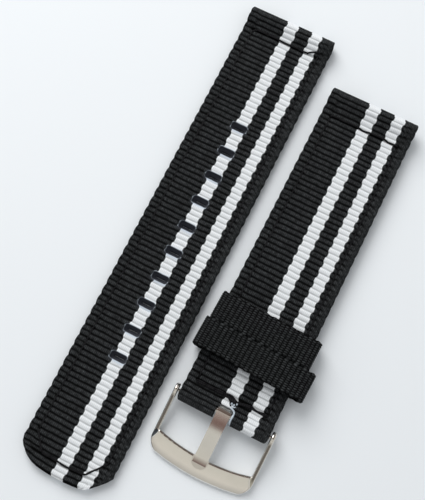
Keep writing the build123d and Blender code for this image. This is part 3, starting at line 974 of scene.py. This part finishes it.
def keeper_path(width, height):
    """A keeper's outer face seen along the strap: how far round it each row lies, the same scaled to
    whole ribs, and the rows' places and normals."""
    r = keeper_r
    straight_x, straight_z = width - 2 * r, height - 2 * r
    loop = 2 * (straight_x + straight_z) + 2 * pi * r
    ribs = 2 * round(loop / keeper_rib / 2)
    s = np.arange(ribs * keeper_steps) * loop / (ribs * keeper_steps)
    scale = keeper_rib / (loop / ribs)
    path, normal = np.zeros((len(s), 2)), np.zeros((len(s), 2))
    ends = np.cumsum([straight_x, pi * r / 2, straight_z, pi * r / 2] * 2)
    right, left, high = straight_x / 2, -straight_x / 2, height - r
    corners = [(right, high), (right, r), (left, r), (left, high)]
    for n, v in enumerate(s):
        leg = int(np.searchsorted(ends, v, side="right"))
        t = v - (ends[leg - 1] if leg else 0)
        side = leg // 2
        out = pi / 2 - side * pi / 2
        if leg % 2:
            turn = out - t / r
            cx, cz = corners[side]
            path[n] = cx + r * cos(turn), cz + r * sin(turn)
            normal[n] = cos(turn), sin(turn)
        else:
            cx, cz = corners[side - 1]
            path[n] = cx + r * cos(out) + t * sin(out), cz + r * sin(out) - t * cos(out)
            normal[n] = cos(out), sin(out)
    # a soft sag between the corners on top
    upper = (normal[:, 1] > 0.7) * (1 - (2 * path[:, 0] / width) ** 2)
    path[:, 1] -= keeper_sag * upper
    return s[:, None], (s * scale)[:, None], path, normal


def keeper(name, body, middle, width, band, play, shift, closer):
    """A keeper: a narrow ribbed webbing closed round the strap, its ribs along the strap. closer says
    how far its upper and its lower edge stand out beyond the band."""
    s, row, path, normal = keeper_path(width, keeper_gap + 2 * strap_thick + play + 2 * keeper_layer)
    v = np.linspace(-band / 2 + keeper_inset, band / 2 - keeper_inset, keeper_columns)[None, :]
    crest = rib_height(0.3 * v, row, keeper_rib)
    # the warp yarns show as short dashes over each rib, half a step on from one rib to the next
    dash = np.cos(2 * pi * v / keeper_yarn + pi * np.round(row / keeper_rib))
    drop = keeper_depth * crest + dash_depth * (dash - 1) * (1 + crest) ** 0.5
    ragged = 0.06 * np.cos(pi * row / keeper_rib) + 0.03 * np.sin(2.3 * s)
    upper_edge, lower_edge = -band / 2 - ragged - closer[0], band / 2 + ragged + closer[1]
    share = (v + band / 2) / band
    y = upper_edge * (1 - share) + lower_edge * share
    centre = np.array([short_x + shift, short_lug_y - middle])
    across_dir = np.array([cos(skew), -sin(skew)])
    along_dir = np.array([-sin(skew), -cos(skew)])

    def raised(lift, y):
        """Points over the outer face, raised along its normals."""
        px, pz = path[:, :1] + normal[:, :1] * lift, path[:, 1:] + normal[:, 1:] * lift
        flat = centre + px[..., None] * across_dir + y[..., None] * along_dir
        return np.concatenate([flat, pz[..., None]], -1)

    build = Build()
    number = build.add(raised(drop, y), row, y, drop)
    build.quads(number, wrap_rows=True)
    inner = []
    for side, column, edge, reach in ((1, -1, lower_edge, closer[1]), (-1, 0, upper_edge, closer[0])):
        # where the two keepers touch, their edges stay full
        touching = reach < touching_reach
        lift = drop[:, [column]] * (1 - edge_share) - edge_share * keeper_layer
        edge_y = edge - side * edge_depth * (0 if touching else 1)
        # painted shade: the edge walls are coloured darker inwards, except where the two keepers touch
        dim = drop[:, [column]] + 0 * lift if touching else np.minimum(lift, 0)
        wall = build.add(raised(lift, edge_y), row, edge_y, dim)
        chain = np.concatenate([number[:, [column]], wall], 1)
        build.quads(chain, wrap_rows=True, flip=side < 0)
        inner.append(chain[:, -1])
    build.quads(np.stack(inner, 1), wrap_rows=True)
    build.object(name + "_woven", keeper_cloth, body, "keeper_webbing", [name])

    seam = Build()
    t = np.linspace(0, 1, 11)
    lie = np.clip(4.5 * np.sin(pi * t), 0, 1)
    for aside in (-seam_aside, seam_aside):
        for start in np.linspace(-band / 2 + seam_margin, band / 2 - seam_margin, 3)[:-1]:
            y_seam = start + t * (band - 2 * seam_margin) / 2
            flat = centre + (aside + 0 * t)[:, None] * across_dir + y_seam[:, None] * along_dir
            for level, up, rise in ((0.1, -1, 0.2), (keeper_layer, 1, 0.3)):
                z = level + up * (-0.3 + lie * rise)
                tube(seam, np.column_stack([flat, np.maximum(z, 0.17)]), 0.15)
    seam.object(name + "_seam_sewn", thread_cloth, body, "thread", [name + "_seam"], weld=0)


# distance from the lug fold, width, band, play over the strap, shift to the right, and closer
keeper("upper_keeper", "upper_loop", 59.9, 25.2, 6.3, 0.15, 0.1, (0.4, 0.13))
keeper("lower_keeper", "lower_loop", 66.55, 27.8, 6.4, 0.5, 0.5, (0.13, 0.3))

# METAL

metals = {"buckle_frame": frame_metal, "buckle_tongue": tongue_metal}
for piece in ("tube", "pivot_left", "pivot_right", "coil"):
    metals["spring_bar_" + piece] = bar_metal
for node_name, metal in metals.items():
    node_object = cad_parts[node_name]
    node_object.data.materials.clear()
    node_object.data.materials.append(metal)

# STAGE

world_light = 0.54
key_light = 3.85
floor_reach = 2.5
floor_drop = 0.06

floor_mesh = bpy.data.meshes.new("floor")
corners = [(floor_reach * x, floor_reach * y, 0) for x, y in ((-1, -1), (1, -1), (1, 1), (-1, 1))]
floor_mesh.from_pydata(corners, [], [(0, 1, 2, 3)])
floor = new_object("floor", floor_mesh)
floor.location.z = -floor_drop * mm
floor_look, tree, shader, node = material("pale_floor")
feed(tree, shader, {"Base Color": (0.83, 0.865, 0.895, 1), "Roughness": 0.6, "Specular IOR Level": 0.2})
floor_mesh.materials.append(floor_look)
floor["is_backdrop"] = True

world = bpy.data.worlds.new("studio")
world.use_nodes = True
node = node_maker(world.node_tree)
# the metal sees boards of these tones round it, each at an angle from straight up towards the front
direction = node("SeparateXYZ", {0: node("TexCoord").outputs["Generated"]}).outputs
tilt = maths(node, "ARCTAN2", maths(node, "MULTIPLY", direction[1], -1.0), direction[2])
board = node("ValToRGB", {0: between(node, tilt, -pi, pi)})
board_stops = (
    (-100, (0.35, 0.36, 0.38)), (-75, (0.3, 0.3, 0.3)),
    (-55, (0.16, 0.13, 0.12)), (-8, (0.13, 0.09, 0.075)),
    (0, (0.16, 0.11, 0.09)), (1.5, (0.6, 0.58, 0.53)),
    (4.5, (0.58, 0.55, 0.5)), (6.5, (0.3, 0.21, 0.19)),
    (8.5, (0.2, 0.125, 0.11)), (11, (0.2, 0.13, 0.115)),
    (13, (0.68, 0.67, 0.63)), (21, (0.66, 0.65, 0.61)),
    (29, (0.7, 0.68, 0.62)), (55, (0.76, 0.73, 0.67)),
    (80, (0.45, 0.44, 0.42)), (110, (0.5, 0.53, 0.57)),
)
while len(board.color_ramp.elements) < len(board_stops):
    board.color_ramp.elements.new(0.5)
for element, (angle, colour) in zip(board.color_ramp.elements, board_stops):
    element.position = (radians(angle) + pi) / (2 * pi)
    element.color = (*colour, 1)
# further to the sides it sees a dim board, then a pale one, and at the far ends slate and brown
sideways = maths(node, "ABSOLUTE", direction[0])
seen = board.outputs[0]
for place, start, end, colour in (
    (sideways, 0.24, 0.32, (0.2, 0.18, 0.165)),
    (sideways, 0.45, 0.6, (0.8, 0.8, 0.78)),
    (direction[0], -0.8, -0.95, (0.08, 0.09, 0.105)),
    (direction[0], 0.8, 0.95, (0.42, 0.4, 0.34)),
):
    share = between(node, place, start, end)
    seen = node("Mix", {0: share, 6: seen, 7: (*colour, 1)}, data_type="RGBA").outputs[2]
glossy = node("LightPath").outputs["Is Glossy Ray"]
even = (world_light * 0.98, world_light * 0.99, world_light)
background = world.node_tree.nodes["Background"]
feed(world.node_tree, background, {"Color": colour_mix(node, glossy, even, seen), "Strength": 1.0})
bpy.context.scene.world = world

lamp_place = Vector((-0.36, 0.357, 0.5))
lamp = bpy.data.lights.new("key", "AREA")
lamp.shape = "RECTANGLE"
lamp.size, lamp.size_y = 0.44, 0.58
lamp.energy = key_light
lamp.color = (1.0, 0.99, 0.975)
lamp_object = new_object("key", lamp)
lamp_object.location = lamp_place
lamp_object.rotation_euler = (-lamp_place).to_track_quat("-Z", "Y").to_euler()

# CAMERA

camera = bpy.data.cameras.new("camera")
camera.lens = 61.2
camera.sensor_width = 36
camera_object = new_object("camera", camera)
right = Vector((0.8917, 0.4523, -0.0222)).normalized()
back = Vector((0.1143, -0.1774, 0.9775)).normalized()
up = back.cross(right).normalized()
right = up.cross(back)
turned = Matrix((right, up, back)).transposed().to_4x4()
camera_object.matrix_world = Matrix.Translation(Vector((14.83, -33.90, 194.14)) * mm) @ turned
bpy.context.scene.camera = camera_object
bpy.context.scene.view_settings.view_transform = "Standard"

low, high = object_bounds()
